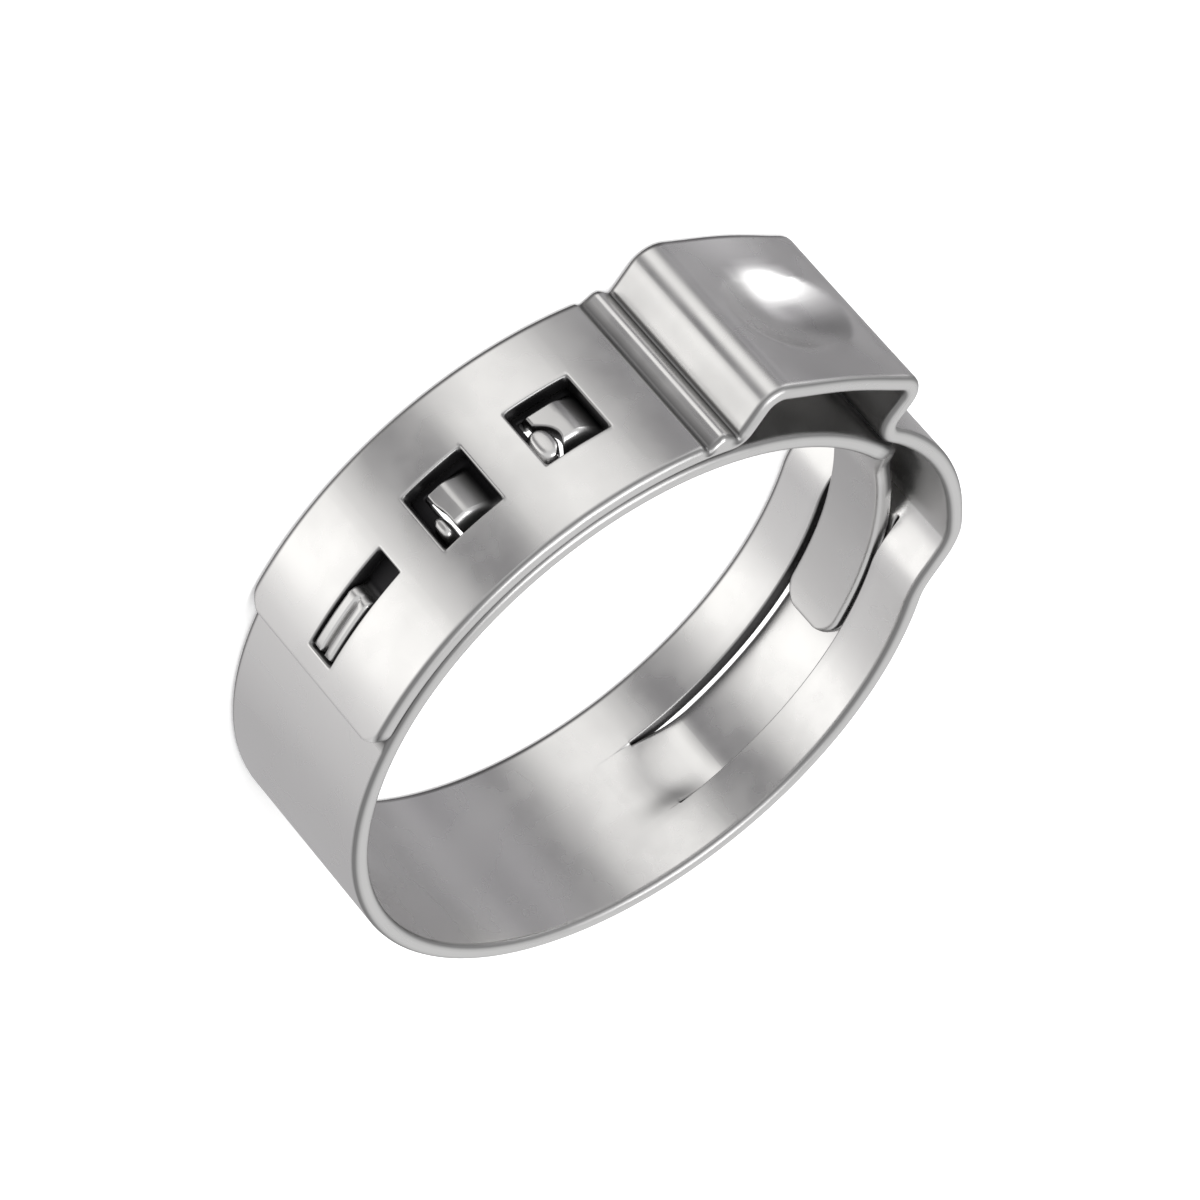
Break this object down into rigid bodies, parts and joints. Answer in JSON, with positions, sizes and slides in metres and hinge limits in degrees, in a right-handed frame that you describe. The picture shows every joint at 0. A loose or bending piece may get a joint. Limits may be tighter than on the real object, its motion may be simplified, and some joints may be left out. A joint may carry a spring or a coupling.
{
  "type": "ear hose clamp",
  "caption": "Stepless ear clamp of one stainless strip with hooks, a tongue in a channel and a dimpled ear, squeezed shut with pincers to hold a hose on a pipe end.",
  "frame": {"origin": "centre of the bore that grips the hose, on its axis at the middle of the strip's width", "axes": "+Z along the bore's axis; +Y from the axis through the middle of the ear; the windows lie towards -X"},
  "size_m": [0.0235, 0.0244, 0.007],
  "materials": {
    "polished_strip": "bright rolled stainless strip, softly polished, with rounded mill edges"
  },
  "bodies": {
    "root": {"clamp_band": "polished_strip"}
  },
  "joints": []
}
